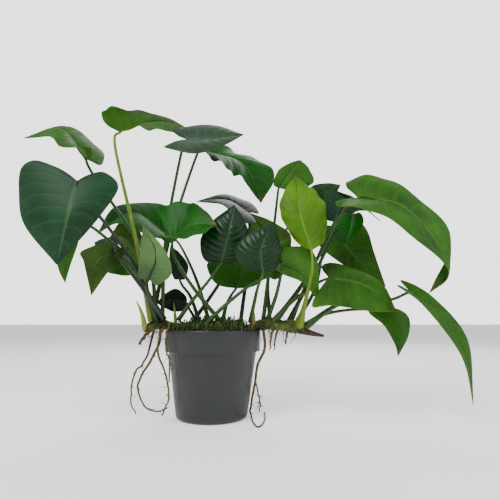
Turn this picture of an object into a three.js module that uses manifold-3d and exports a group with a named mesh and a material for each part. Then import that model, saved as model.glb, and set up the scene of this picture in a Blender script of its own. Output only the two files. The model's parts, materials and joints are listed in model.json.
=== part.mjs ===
// A potted aquarium plant: heart- and arrow-shaped leaves on long stalks, rising from rhizomes
// that creep over the rim of a round nursery pot, with roots hanging down its sides.
// Units are millimetres, +Z is up, and the origin is the middle of the pot's underside.
import * as THREE from "three";
import { mergeVertices } from "three/addons/utils/BufferGeometryUtils.js";
import Module from "manifold-3d";

const wasm = await Module();
wasm.setup();

// Driving dimensions
const POT = {
  height: 104, rimRadius: 60, lipHeight: 25, lipStep: 5, baseRadius: 44, edgeRadius: 5, wall: 1.6,
  drainHoles: 6, drainRadius: 3.5, drainCircle: 28, drainDepth: 6.4, drainFacets: 12, facets: 32,
  edgeTurns: [0.3, 0.65, 1], stepEase: 2,
};
// The mix rises from the pot's wall in a slope to its crown.
const SOIL = {
  bottom: 3, rim: 98, crown: 110, slopeShare: 0.75, slopeDrop: 4, topShare: 0.4, topDrop: 1, facets: 28,
  baseEase: 2, neckDrop: 1.5, neckRise: 3,
};
const GAP = 0.35; // between pieces that touch
const SLIVER = 0.06; // edges shorter than this are merged away
const SAME_POINT = 1e-4;
const PLACE_DIGITS = 3; // points that agree to so many decimals lie in one place
const ROUGHNESS = { pot: 0.55, mix: 0.95, rhizome: 0.8, root: 0.85, shoot: 0.7, leaf: 0.45 };
// puff and wave are shares of a half's width; phase sets the two edges' ripples apart; and lean
// gathers the veins towards the stalk's end.
const LEAF = {
  thickness: 1.2, rows: 8, columns: 4, puff: 0.1, wave: 0.05, waves: 2.5, phase: 0.37, lean: 1.25,
};
// The stalk runs on under the blade for a share of the midrib.
const STALK = { radii: [3, 1.8], underBlade: 0.15, sides: 5, steps: 6 };
const RHIZOME = { sides: 10, steps: 8 };
const STUB = { sides: 8, steps: 4 };
const ROOT = { sides: 5, steps: 10 };
const FORK = { sides: 6, steps: 5 };
const FLOOR_ROOT = { sides: 6, steps: 12 };
const SHOOT = { sides: 7, steps: 4 };
const COLOURS = { pot: 0x3b3e3d, mix: 0x3c2e20, rhizome: 0x7a7a3a, root: 0x8d7a48 };

const TINTS = {
  deep: 0x27492f, fresh: 0x4a7a26, satin: 0x4c5f4d, sunlit: 0x2f7414, pale: 0x9db78c,
  shade: 0x24361f, olive: 0x4a6126, ribbed: 0x1f3a24, lime: 0x86a529,
};

// The three outlines: how far along the midrib the lobe, the shoulder and the waist of each edge
// lie, negative behind the stalk's end, and how wide the half is there as a share of its shoulder.
// fan is the share of the outline that is lobe, whose veins all start at the stalk's end. A
// heart's lobes are rounded by a root between notch and lobe, at a share of the lobe's width.
const FORMS = {
  heart: { root: [-0.15, 0.45], lobe: [-0.2, 0.66], shoulder: [0.12, 1], waist: [0.55, 0.64], fan: 0.4 },
  arrow: { lobe: [-0.08, 0.66], shoulder: [0.2, 1], waist: [0.6, 0.62], fan: 0.3 },
  oval: { lobe: [0, 0.6], shoulder: [0.35, 1], waist: [0.72, 0.62], fan: 0.25 },
};

// Each leaf: its stalk from the rhizome up, its midrib from the stalk's end to the tip, and the
// shoulder of its left and right half, as seen from above with the tip pointing away. lobes and
// waists say how far those two edges stand off the midrib there, on leaves whose halves turn.
const LEAVES = {
  leaf_heart_front_left: {
    form: "heart", tint: "deep", stalk: [[-69, -8, 115], [-100, -34, 190], [-141, -84, 254]],
    midrib: [[-144, -98, 267], [-143, -114, 222], [-157, -100, 173]], left: [-103, -86, 262],
    right: [-216, -86, 268], lobes: [[26, 8, -4], [-62, 8, 12]], waists: [[26, 12, 4], [-54, 16, 2]],
    wave: 0.02,
  },
  leaf_small_under_heart: {
    form: "oval", tint: "fresh", stalk: [[-80, 3, 114], [-94, -8, 176], [-136, -48, 221]],
    midrib: [[-156, -62, 230], [-162, -69, 195], [-166, -60, 158]], left: [-152, -66, 205],
    right: [-178, -64, 206],
  },
  leaf_arched_far_left: {
    form: "heart", tint: "fresh", stalk: [[-73, -2, 114], [-90, 3, 196], [-156, -26, 300]],
    midrib: [[-167, -32, 323], [-195, -48, 356], [-241, -50, 343]], left: [-175, -80, 318],
    right: [-167, 8, 356], lobes: [[0, -25, 20], [0, 20, 20]], waists: [[0, -20, -22], [-5, 55, 30]],
  },
  leaf_top_raised: {
    form: "heart", tint: "fresh", stalk: [[-78, -9, 115], [-100, -18, 218], [-132, -26, 342]],
    midrib: [[-129, -22, 366], [-84, 8, 400], [-25, 40, 391]], left: [-112, 34, 402],
    right: [-116, -54, 382], lobes: [[6, 42, 60], [0, -5, 34]], waists: [[0, 35, 2], [0, -35, -10]],
  },
  leaf_top_level: {
    form: "heart", tint: "satin", stalk: [[-66, 2, 116], [-66, 0, 220], [-44, -30, 328]],
    midrib: [[-35, -36, 348], [2, -48, 343], [39, -46, 350]], left: [-32, -5, 386], right: [-25, -85, 306],
    lobes: [[-8, 15, 22], [-10, -28, -24]], waists: [[5, 28, 30], [8, -20, -20]], wave: 0.03,
  },
  leaf_wavy_back: {
    form: "oval", tint: "sunlit", stalk: [[-82, 16, 116], [-63, 10, 225], [-32, 19, 346]],
    midrib: [[-22, 22, 361], [36, 32, 344], [63, 28, 282]], left: [36, 62, 373], right: [18, -6, 319],
    lobes: [[15, 18, 18], [15, -24, -22]], waists: [[34, 16, 15], [-14, -25, -10]], wave: 0.06, waves: 3,
  },
  leaf_broad_back_left: {
    form: "heart", tint: "sunlit", stalk: [[-8, 18, 117], [-28, 27, 174], [-56, 45, 226]],
    midrib: [[-73, 48, 238], [-124, 42, 272], [-169, 26, 236]], left: [-92, 8, 232], right: [-100, 78, 298],
    lobes: [[-8, -32, 0], [-10, 26, 48]], waists: [[-8, -30, -25], [-25, 16, 16]],
  },
  leaf_cupped_centre: {
    form: "heart", tint: "sunlit", stalk: [[11, -22, 115], [-19, -22, 150], [-46, -27, 190]],
    midrib: [[-51, -30, 212], [-27, -44, 231], [7, -54, 229]], left: [-38, -18, 270],
    right: [-34, -75, 208], lobes: [[-10, 6, 58], [0, -30, 12]], waists: [[16, 2, 18], [20, -26, -15]],
    puff: -0.1,
  },
  leaf_pale_upright: {
    form: "oval", tint: "pale", stalk: [[-59, -17, 118], [-70, -32, 138], [-76, -46, 155]],
    midrib: [[-73, -48, 164], [-62, -61, 193], [-82, -54, 229]], left: [-42, -66, 172],
    right: [-82, -60, 188],
  },
  leaf_dark_small: {
    form: "oval", tint: "shade", stalk: [[-18, 4, 113], [-31, 8, 146], [-42, 6, 161]],
    midrib: [[-46, 4, 170], [-48, 2, 194], [-60, 4, 215]], left: [-59, 0, 188], right: [-36, 8, 188],
  },
  leaf_young_low: {
    form: "oval", tint: "shade", stalk: [[-25, 26, 113], [-29, 28, 121], [-36, 29, 132]],
    midrib: [[-40, 30, 140], [-60, 32, 145], [-81, 30, 140]], left: [-56, 28, 128], right: [-56, 33, 160],
  },
  leaf_drooping_left: {
    form: "heart", tint: "olive", stalk: [[-62, -9, 117], [-84, -38, 156], [-112, -48, 192]],
    midrib: [[-119, -44, 200], [-134, -55, 182], [-137, -54, 144]], left: [-114, -32, 190],
    right: [-146, -68, 194], waists: [[14, 6, -6], [-10, -8, 2]],
  },
  leaf_dark_left: {
    form: "oval", tint: "satin", stalk: [[-71, 9, 114], [-95, 4, 163], [-122, -3, 204]],
    midrib: [[-127, -8, 213], [-142, -8, 218], [-157, -10, 216]], left: [-137, -24, 198],
    right: [-140, 10, 228],
  },
  leaf_olive_back_left: {
    form: "heart", tint: "olive", stalk: [[-88, 24, 116], [-94, 30, 154], [-102, 27, 196]],
    midrib: [[-109, 24, 213], [-132, 27, 233], [-153, 28, 229]], left: [-118, 26, 254],
    right: [-118, 20, 198],
  },
  leaf_narrow_left: {
    form: "oval", tint: "sunlit", stalk: [[-79, 22, 113], [-88, 20, 146], [-97, 11, 175]],
    midrib: [[-104, 11, 188], [-125, 10, 191], [-143, 8, 179]], left: [-118, 13, 208],
    right: [-118, 7, 175],
  },
  leaf_ribbed_centre: {
    form: "oval", tint: "ribbed", stalk: [[-41, -22, 117], [-24, -34, 138], [-2, -41, 164]],
    midrib: [[12, -38, 186], [21, -47, 220], [27, -38, 259]], left: [-15, -36, 214], right: [46, -34, 208],
    puff: 0.18, wave: 0.03,
  },
  leaf_ribbed_front: {
    form: "oval", tint: "ribbed", stalk: [[47, -18, 115], [52, -36, 137], [56, -56, 154]],
    midrib: [[62, -62, 170], [60, -71, 197], [74, -62, 229]], left: [29, -62, 196], right: [83, -60, 195],
    puff: 0.18, wave: 0.03,
  },
  leaf_round_low: {
    form: "oval", tint: "sunlit", stalk: [[12, 2, 117], [16, 2, 135], [22, 2, 148]],
    midrib: [[29, 2, 158], [39, 10, 190], [47, 14, 221]], left: [77, 8, 186], right: [-9, 2, 190],
  },
  leaf_dark_back_centre: {
    form: "heart", tint: "satin", stalk: [[-33, 38, 113], [7, 38, 173], [45, 36, 244]],
    midrib: [[44, 32, 270], [14, 25, 286], [-29, 16, 281]], left: [30, -8, 250], right: [40, 60, 297],
  },
  leaf_olive_back_centre: {
    form: "oval", tint: "olive", stalk: [[34, 20, 114], [44, 32, 174], [66, 38, 201]],
    midrib: [[80, 42, 206], [72, 46, 242], [44, 42, 273]], left: [107, 48, 238], right: [48, 40, 230],
  },
  leaf_back_tall: {
    form: "oval", tint: "fresh", stalk: [[64, -2, 118], [75, 18, 200], [84, 12, 276]],
    midrib: [[87, 8, 298], [102, 5, 318], [117, 4, 338]], left: [85, 0, 319], right: [135, 11, 307],
  },
  leaf_bright_upright: {
    form: "oval", tint: "lime", stalk: [[109, -8, 111], [112, -42, 136], [120, -52, 174]],
    midrib: [[121, -48, 199], [108, -54, 240], [106, -28, 300]], left: [84, -50, 242],
    right: [141, -43, 252], waves: 2,
  },
  leaf_green_centre: {
    form: "oval", tint: "fresh", stalk: [[-9, -34, 108], [16, -36, 133], [49, -28, 160]],
    midrib: [[70, -18, 171], [85, -14, 197], [98, -14, 221]], left: [66, -12, 200], right: [98, -6, 184],
  },
  leaf_green_right: {
    form: "heart", tint: "fresh", stalk: [[68, -6, 115], [79, -19, 145], [85, -28, 171]],
    midrib: [[88, -28, 185], [112, -38, 170], [131, -30, 138]], left: [87, -31, 172],
    right: [120, -25, 207],
  },
  leaf_arrow_right: {
    form: "arrow", tint: "fresh", stalk: [[74, -13, 115], [98, -17, 138], [128, -21, 160]],
    midrib: [[145, -25, 168], [184, -42, 157], [219, -46, 126]], left: [168, -8, 188],
    right: [142, -64, 132], lobes: [[2, 14, 16], [-20, -32, -36]], waists: [[15, 12, 10], [0, -14, -26]],
    wave: 0.03,
  },
  leaf_hanging_right: {
    form: "oval", tint: "fresh", stalk: [[116, 6, 110], [140, 2, 123], [169, -4, 129]],
    midrib: [[201, -8, 130], [223, -16, 111], [228, -16, 73]], left: [247, -6, 124], right: [213, -14, 110],
    wave: 0.03,
  },
  leaf_dark_right: {
    form: "arrow", tint: "fresh", stalk: [[109, 14, 116], [135, 20, 158], [149, 26, 210]],
    midrib: [[166, 32, 249], [190, 26, 207], [230, 16, 161]], left: [210, 23, 246], right: [146, 30, 220],
    wave: 0.03,
  },
  leaf_deep_back_right: {
    form: "oval", tint: "deep", stalk: [[103, 24, 116], [126, 39, 167], [159, 52, 236]],
    midrib: [[173, 56, 262], [193, 58, 306], [242, 52, 261]], left: [163, 53, 310], right: [205, 57, 276],
    wave: 0.03,
  },
  leaf_small_right: {
    form: "oval", tint: "sunlit", stalk: [[95, -2, 114], [132, 1, 178], [166, 2, 239]],
    midrib: [[187, 2, 258], [180, -3, 234], [171, -4, 212]], left: [199, -1, 244], right: [157, 0, 242],
    wave: 0.02,
  },
  leaf_long_arching: {
    form: "arrow", tint: "fresh", stalk: [[79, -6, 115], [120, -12, 171], [161, -30, 245]],
    midrib: [[184, -34, 269], [232, -50, 254], [268, -56, 206], [283, -48, 169], [265, -32, 148]],
    left: [234, -20, 299], right: [197, -73, 235], waists: [[14, 12, 32], [-6, -14, -14]], wave: 0.03,
  },
  leaf_long_far_right: {
    form: "arrow", tint: "fresh", stalk: [[116, -8, 108], [162, -12, 137], [218, -26, 141]],
    midrib: [[237, -44, 149], [264, -62, 121], [281, -68, 80], [292, -56, 25]], left: [264, -46, 142],
    right: [238, -72, 132], lobes: [[2, 5, 8], [-10, -12, 0]], waists: [[10, 5, 6], [-6, -8, -8]],
    wave: 0.03,
  },
  leaf_grey_back_right: {
    form: "oval", tint: "satin", stalk: [[74, 30, 114], [74, 48, 182], [101, 60, 250]],
    midrib: [[133, 64, 291], [153, 63, 310], [186, 58, 321]], left: [167, 75, 294], right: [140, 50, 315],
    wave: 0.03,
  },
};

// Rhizomes: the route of the stem's middle and its radius at the ends
const RHIZOMES = {
  rhizome_left: { path: [[-40, 0, 104], [-62, -2, 111], [-76, -4, 110], [-88, -4, 103]], radii: [8, 6] },
  rhizome_left_back: {
    path: [[-38, 20, 103], [-60, 18, 110], [-78, 18, 109], [-90, 20, 104]], radii: [7, 5],
  },
  rhizome_right: { path: [[40, -2, 103], [62, -4, 111], [90, -5, 110], [118, -4, 106]], radii: [8, 10] },
  rhizome_right_back: { path: [[42, 22, 103], [62, 26, 111], [86, 22, 110], [104, 20, 107]], radii: [7, 7] },
};
const RHIZOME_STUB = { path: [[112, -4, 104], [126, -5, 100], [140, -5, 97]], radii: [5, 1.6] };

// Roots: the route from the rhizome outwards, and the radius at both ends
const ROOTS = {
  root_left_long: { path: [[-66, -6, 106], [-65, -20, 86], [-72, -23, 70], [-83, -24, 49], [-86, -22, 36],
    [-80, -16, 17], [-64, -12, 9], [-52, -10, 13]], radii: [1.8, 0.8] },
  root_left_outer: { path: [[-76, 4, 106], [-81, -4, 78], [-86, -7, 63], [-94, -8, 54], [-98, -8, 33],
    [-97, -10, 20], [-90, -14, 6]], radii: [1.6, 0.7] },
  root_left_inner: { path: [[-60, -6, 109], [-60, -24, 104], [-62, -33, 80], [-54, -34, 60], [-48, -31, 38],
    [-49, -30, 23], [-54, -32, 9]], radii: [1.6, 0.8] },
  root_left_short: { path: [[-54, -6, 112], [-51, -28, 112], [-51, -42, 96], [-49, -45, 80],
    [-45, -47, 70], [-45, -46, 48]], radii: [1.5, 0.8] },
  root_left_thick: { path: [[-74, -6, 108], [-81, -12, 100], [-90, -17, 87]], radii: [2.6, 1.6] },
  root_right_long: { path: [[64, -6, 106], [65, -13, 86], [61, -16, 74], [55, -14, 60], [53, -12, 42],
    [50, -6, 24], [47, 8, 7], [47, 16, 1.5]], radii: [2, 1.1] },
  root_right_a: { path: [[76, -6, 106], [73, -8, 92], [72, -8, 80]], radii: [1.8, 0.8] },
  root_right_b: { path: [[82, 4, 106], [79, 5, 92], [78, 6, 80]], radii: [1.6, 0.8] },
  root_right_c: { path: [[94, -4, 106], [93, -4, 96], [92, -5, 87]], radii: [1.6, 0.9] },
};
// The right root forks half way down, and its end lies on the surface that the pot stands on.
const ROOT_FORK = { path: [[53, -12, 44], [57, -13, 30], [59, -14, 18], [58, -14, 9]], radii: [1, 0.7] };
const ROOT_ON_FLOOR = { path: [[47, 12, 3.6], [49, -8, 1.4], [50, -30, 1.4], [55, -52, 1.4], [61, -40, 1.4],
  [65, -10, 1.4], [65, 20, 1.4]], radii: [1.1, 0.8] };

// Pointed sheaths and shoots that stand up between the stalks
const SHOOTS = {
  sheath_left: { path: [[-85, -6, 104], [-90, -8, 124], [-98, -10, 142]], radii: [4, 0.8], colour: 0x8f9a45 },
  shoot_centre: { path: [[-46, -8, 104], [-48, -9, 124], [-50, -9, 139]], radii: [3, 0.8], colour: 0x5d7d2a },
  sheath_brown: { path: [[50, -10, 104], [52, -11, 118], [52, -11, 129]], radii: [3.4, 1], colour: 0x8a6a3c },
  twig_dry: { path: [[27, -16, 104], [28, -16, 116], [26, -16, 127]], radii: [1.4, 0.8], colour: 0x6d4a2c },
};

const vector = (p) => new THREE.Vector3(...p);

// Smooth curve through hand-set points; the same weights serve leaf edges, midribs and stems.
function smooth(points, share) {
  const spans = points.length - 1;
  const at = THREE.MathUtils.clamp(share, 0, 1) * spans;
  const k = Math.min(Math.floor(at), spans - 1);
  const f = at - k;
  const b = points[k];
  const c = points[k + 1];
  const a = k > 0 ? points[k - 1] : b.clone().multiplyScalar(2).sub(c);
  const d = k < spans - 1 ? points[k + 2] : c.clone().multiplyScalar(2).sub(b);
  const out = new THREE.Vector3();
  out.addScaledVector(a, (-f + 2 * f * f - f ** 3) / 2);
  out.addScaledVector(b, (2 - 5 * f * f + 3 * f ** 3) / 2);
  out.addScaledVector(c, (f + 4 * f * f - 3 * f ** 3) / 2);
  out.addScaledVector(d, (-f * f + f ** 3) / 2);
  return out;
}

function tangent(points, share) {
  const step = 0.01;
  const ahead = smooth(points, Math.min(share + step, 1));
  return ahead.sub(smooth(points, Math.max(share - step, 0))).normalize();
}

// A three.js geometry as a manifold solid
function solid(geometry) {
  const bare = new THREE.BufferGeometry();
  bare.setAttribute("position", geometry.getAttribute("position"));
  if (geometry.index) bare.setIndex(geometry.index);
  const merged = mergeVertices(bare, SAME_POINT);
  const index = Array.from(merged.index.array);
  const kept = [];
  for (let i = 0; i < index.length; i += 3) {
    const [a, b, c] = index.slice(i, i + 3);
    if (a !== b && b !== c && c !== a) kept.push(a, b, c);
  }
  const vertProperties = new Float32Array(merged.getAttribute("position").array);
  return new wasm.Manifold(new wasm.Mesh({ numProp: 3, vertProperties, triVerts: new Uint32Array(kept) }));
}

// A manifold solid as a named mesh with its own material; slivers left by the cuts are merged away
function named(name, body, colour, roughness) {
  const { vertProperties, triVerts } = body.simplify(SLIVER).getMesh();
  const geometry = new THREE.BufferGeometry();
  geometry.setAttribute("position", new THREE.BufferAttribute(new Float32Array(vertProperties), 3));
  geometry.setIndex(new THREE.BufferAttribute(new Uint32Array(triVerts), 1));
  geometry.computeVertexNormals();
  const material = new THREE.MeshStandardMaterial({ color: colour, roughness, metalness: 0 });
  const mesh = new THREE.Mesh(geometry, material);
  mesh.name = name;
  return mesh;
}

// A round stem along a route, its radius running from one end value to the other
function stem(route, radii, { sides, steps }, extra = 0) {
  const points = route.map(vector);
  const geometry = new THREE.CylinderGeometry(1, 1, 1, sides, steps);
  const position = geometry.getAttribute("position");
  let side = new THREE.Vector3(0.3, 1, 0.1);
  const frames = [];
  for (let i = 0; i <= steps; i += 1) {
    const along = tangent(points, i / steps);
    side = side.clone().addScaledVector(along, -side.dot(along)).normalize();
    frames.push({ centre: smooth(points, i / steps), side, other: along.clone().cross(side) });
  }
  for (let i = 0; i < position.count; i += 1) {
    const step = Math.round((0.5 + position.getY(i)) * steps);
    const { centre, side: u, other } = frames[step];
    const radius = THREE.MathUtils.lerp(radii[0], radii[1], step / steps) + extra;
    const place = centre.clone().addScaledVector(u, position.getZ(i) * radius);
    place.addScaledVector(other, position.getX(i) * radius);
    position.setXYZ(i, place.x, place.y, place.z);
  }
  return solid(geometry);
}

// The midrib's course, carried straight back behind the stalk's end to where the lobes reach
function along(midrib, share) {
  if (share >= 0) return smooth(midrib, share);
  const length = new THREE.CatmullRomCurve3(midrib).getLength();
  return midrib[0].clone().addScaledVector(tangent(midrib, 0), share * length);
}

// The left (0) or right (1) edge of a blade, from the notch to the tip: its form's outline,
// stretched to reach the shoulder that the leaf gives and turned by its lobes and waists
function edge(leaf, side) {
  const midrib = leaf.midrib.map(vector);
  const { root, lobe, shoulder, waist } = FORMS[leaf.form];
  const half = vector([leaf.left, leaf.right][side]).sub(along(midrib, shoulder[0]));
  const standOff = (part, given) => (given ? vector(given) : half.clone().multiplyScalar(part));
  const lobeOff = standOff(lobe[1], leaf.lobes?.[side]);
  const points = [midrib[0]];
  if (root) points.push(along(midrib, root[0]).addScaledVector(lobeOff, root[1]));
  points.push(along(midrib, lobe[0]).add(lobeOff), along(midrib, shoulder[0]).add(half));
  points.push(along(midrib, waist[0]).add(standOff(waist[1], leaf.waists?.[side])), midrib.at(-1));
  return points;
}

// The surface between a blade's midrib and its edges, as rows of points from the notch to the tip
function bladeSurface(leaf) {
  const midrib = leaf.midrib.map(vector);
  const { fan } = FORMS[leaf.form];
  const edges = [0, 1].map((side) => edge(leaf, side));
  const rows = [];
  for (let i = 0; i <= LEAF.rows; i += 1) {
    const share = i / LEAF.rows;
    const vein = THREE.MathUtils.clamp((share - fan) / (1 - fan), 0, 1) ** LEAF.lean;
    const middle = smooth(midrib, vein);
    const [left, right] = edges.map((points) => smooth(points, share));
    const up = right.clone().sub(left).cross(tangent(midrib, vein)).normalize();
    const row = [];
    for (let j = 0; j <= LEAF.columns; j += 1) {
      const across = (2 * j) / LEAF.columns - 1;
      const out = Math.abs(across);
      const reach = (across < 0 ? left : right).clone().sub(middle);
      const turns = (leaf.waves ?? LEAF.waves) * share + (across < 0 ? LEAF.phase : 0);
      const crown = (leaf.puff ?? LEAF.puff) * 2 * (out - out * out);
      const ripple = (leaf.wave ?? LEAF.wave) * out * out * Math.sin(2 * Math.PI * turns);
      const point = middle.clone().addScaledVector(reach, out);
      row.push(point.addScaledVector(up, reach.length() * (crown + ripple)));
    }
    rows.push(row);
  }
  return rows;
}

// The direction square to a surface at each of its points, shared by the points that lie in one
// place, as those at the notch do
function squareTo(surface) {
  const sums = new Map();
  const sumAt = (point) => {
    const key = point.toArray().map((value) => value.toFixed(PLACE_DIGITS)).join();
    if (!sums.has(key)) sums.set(key, new THREE.Vector3());
    return sums.get(key);
  };
  for (let i = 1; i < surface.length; i += 1) {
    for (let j = 1; j < surface[i].length; j += 1) {
      const [a, b] = [surface[i - 1][j - 1], surface[i - 1][j]];
      const [c, d] = [surface[i][j], surface[i][j - 1]];
      const square = c.clone().sub(a).cross(d.clone().sub(b));
      for (const corner of [a, b, c, d]) sumAt(corner).add(square);
    }
  }
  return surface.map((row) => row.map((point) => sumAt(point).clone().normalize()));
}

// A leaf blade: wedges as thick everywhere, two under each patch of its surface. Joining them
// keeps the blade sound where it folds over itself.
function blade(leaf) {
  const surface = bladeSurface(leaf);
  const square = squareTo(surface);
  const walls = surface.map((row, i) => row.map((point, j) => [0.5, -0.5].map(
    (side) => point.clone().addScaledVector(square[i][j], side * LEAF.thickness).toArray(),
  )));
  const wedges = [];
  for (let i = 1; i <= LEAF.rows; i += 1) {
    for (let j = 1; j <= LEAF.columns; j += 1) {
      const [a, b] = [walls[i - 1][j - 1], walls[i - 1][j]];
      const [c, d] = [walls[i][j], walls[i][j - 1]];
      for (const corners of [[a, b, c], [a, c, d]]) {
        const wedge = wasm.Manifold.hull(corners.flat());
        if (!wedge.isEmpty()) wedges.push(wedge);
      }
    }
  }
  return wasm.Manifold.union(wedges);
}

// A whole leaf grew in one piece: the stalk runs on under the blade as the start of its midrib.
function leafBody(leaf) {
  const underBlade = smooth(leaf.midrib.map(vector), STALK.underBlade).toArray();
  const route = [...leaf.stalk, leaf.midrib[0], underBlade];
  const stalk = stem(route, STALK.radii, STALK);
  return stalk.add(blade(leaf));
}

// Solid of revolution about the pot's axis from [radius, height] points
function turned(outline, facets) {
  const points = outline.map(([radius, height]) => new THREE.Vector2(radius, height));
  return solid(new THREE.LatheGeometry(points, facets).rotateX(Math.PI / 2));
}

function potBody(extra = 0) {
  const { height, rimRadius, lipHeight, lipStep, baseRadius, edgeRadius, wall } = POT;
  const lip = height - lipHeight;
  const neck = rimRadius - lipStep;
  const inner = wall + extra;
  const outline = [[0, -extra], [baseRadius - edgeRadius, -extra]];
  for (const turn of POT.edgeTurns) {
    const angle = (turn * Math.PI) / 2;
    const radius = baseRadius - edgeRadius + (edgeRadius + extra) * Math.sin(angle);
    outline.push([radius, edgeRadius - (edgeRadius + extra) * Math.cos(angle)]);
  }
  outline.push([neck + extra, lip], [rimRadius + extra, lip - extra], [rimRadius + extra, height + extra]);
  outline.push([rimRadius - inner, height + extra], [rimRadius - inner, lip + POT.stepEase]);
  outline.push([neck - inner, lip - POT.stepEase]);
  outline.push([baseRadius - inner, edgeRadius], [baseRadius - edgeRadius, inner], [0, inner]);
  const shell = turned(outline, POT.facets);
  if (extra > 0) return shell;
  const holes = [];
  for (let i = 0; i < POT.drainHoles; i += 1) {
    const angle = ((i + 0.5) / POT.drainHoles) * 2 * Math.PI;
    const radius = POT.drainRadius;
    const hole = new THREE.CylinderGeometry(radius, radius, POT.drainDepth, POT.drainFacets);
    hole.rotateX(Math.PI / 2);
    hole.translate(POT.drainCircle * Math.cos(angle), POT.drainCircle * Math.sin(angle), 0);
    holes.push(solid(hole));
  }
  return holes.reduce((body, hole) => body.subtract(hole), shell);
}

// Growing mix: fills the pot and rises in a low mound above the rim
function soilBody(extra = 0) {
  const { height, rimRadius, lipHeight, lipStep, baseRadius, edgeRadius, wall } = POT;
  const lip = height - lipHeight;
  const inset = wall + GAP - extra;
  const outline = [
    [0, SOIL.bottom - extra], [baseRadius - inset - edgeRadius, SOIL.bottom - extra],
    [baseRadius - inset, edgeRadius + SOIL.baseEase],
    [rimRadius - lipStep - inset, lip - SOIL.neckDrop], [rimRadius - inset, lip + SOIL.neckRise],
    [rimRadius - inset, SOIL.rim + extra],
    [rimRadius * SOIL.slopeShare, SOIL.crown - SOIL.slopeDrop + extra],
    [rimRadius * SOIL.topShare, SOIL.crown - SOIL.topDrop + extra], [0, SOIL.crown + extra],
  ];
  return turned(outline, SOIL.facets);
}

const group = new THREE.Group();
const place = (name, body, colour, roughness) => group.add(named(name, body, colour, roughness));

place("pot", potBody(), COLOURS.pot, ROUGHNESS.pot);
place("growing_mix", soilBody(), COLOURS.mix, ROUGHNESS.mix);

// What is planted stays clear of the pot and the mix by the same small gap.
const planted = [potBody(GAP), soilBody(GAP)];
const clearOf = (body, others) => others.reduce((left, other) => left.subtract(other), body);

// After cutting, only the largest piece of a body is kept.
function mainPiece(body) {
  const pieces = body.decompose();
  return pieces.reduce((best, piece) => (piece.volume() > best.volume() ? piece : best));
}

for (const [name, { path, radii }] of Object.entries(RHIZOMES)) {
  let body = stem(path, radii, RHIZOME);
  let grown = stem(path, radii, RHIZOME, GAP);
  if (name === "rhizome_right") {
    body = body.add(stem(RHIZOME_STUB.path, RHIZOME_STUB.radii, STUB));
    grown = grown.add(stem(RHIZOME_STUB.path, RHIZOME_STUB.radii, STUB, GAP));
  }
  place(name, mainPiece(clearOf(body, planted)), COLOURS.rhizome, ROUGHNESS.rhizome);
  planted.push(grown);
}

for (const [name, { path, radii }] of Object.entries(ROOTS)) {
  let body = stem(path, radii, ROOT);
  if (name === "root_right_long") {
    body = body.add(stem(ROOT_FORK.path, ROOT_FORK.radii, FORK));
    body = body.add(stem(ROOT_ON_FLOOR.path, ROOT_ON_FLOOR.radii, FLOOR_ROOT));
  }
  place(name, mainPiece(clearOf(body, planted)), COLOURS.root, ROUGHNESS.root);
}

for (const [name, { path, radii, colour }] of Object.entries(SHOOTS)) {
  place(name, mainPiece(clearOf(stem(path, radii, SHOOT), planted)), colour, ROUGHNESS.shoot);
}

for (const [name, leaf] of Object.entries(LEAVES)) {
  place(name, mainPiece(clearOf(leafBody(leaf), planted)), TINTS[leaf.tint], ROUGHNESS.leaf);
}

export default group;
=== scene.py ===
"""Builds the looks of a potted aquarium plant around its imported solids.

Every leaf blade is laid over the surface between its midrib and its edges, as its solid is, with
its veins pressed in and its stalk running on under it as a raised midrib. Sizes are given in
millimetres and turned into metres by MM. +Z is up and -Y is the front.
"""

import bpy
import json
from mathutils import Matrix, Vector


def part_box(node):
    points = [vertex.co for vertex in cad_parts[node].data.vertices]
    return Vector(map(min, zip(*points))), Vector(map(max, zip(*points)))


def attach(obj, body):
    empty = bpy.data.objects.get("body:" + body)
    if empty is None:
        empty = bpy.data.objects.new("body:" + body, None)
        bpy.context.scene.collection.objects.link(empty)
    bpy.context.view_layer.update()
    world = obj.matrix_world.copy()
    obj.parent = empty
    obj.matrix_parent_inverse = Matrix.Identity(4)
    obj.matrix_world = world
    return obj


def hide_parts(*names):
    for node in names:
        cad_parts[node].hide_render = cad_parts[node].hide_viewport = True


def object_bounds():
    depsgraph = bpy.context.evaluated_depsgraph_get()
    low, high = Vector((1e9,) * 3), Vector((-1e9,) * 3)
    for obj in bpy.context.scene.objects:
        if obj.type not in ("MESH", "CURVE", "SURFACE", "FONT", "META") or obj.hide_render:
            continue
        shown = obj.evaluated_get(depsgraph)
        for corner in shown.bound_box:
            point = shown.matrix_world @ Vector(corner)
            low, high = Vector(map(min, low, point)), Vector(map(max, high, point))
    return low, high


bl_info = {
    "name": "Potted Aquarium Plant",
    "version": (1, 0, 0),
    "blender": (4, 5, 0),
    "location": "3D View > Sidebar > Plant",
    "description": "Leaves, rhizomes, roots and pot of a broad-leaved aquarium plant",
    "category": "Add Mesh",
}

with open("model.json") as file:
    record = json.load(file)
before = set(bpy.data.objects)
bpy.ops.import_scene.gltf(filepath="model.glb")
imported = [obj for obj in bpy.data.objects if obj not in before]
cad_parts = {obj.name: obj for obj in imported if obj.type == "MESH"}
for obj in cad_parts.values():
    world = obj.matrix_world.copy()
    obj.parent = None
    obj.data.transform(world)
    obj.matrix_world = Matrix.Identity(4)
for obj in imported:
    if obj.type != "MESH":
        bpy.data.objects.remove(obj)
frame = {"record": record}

import json
import math
import random

import bpy
from bpy.props import FloatProperty, FloatVectorProperty, IntProperty, PointerProperty
from bpy.types import Operator, Panel, PropertyGroup
from mathutils import Euler, Matrix, Vector, noise

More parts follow.
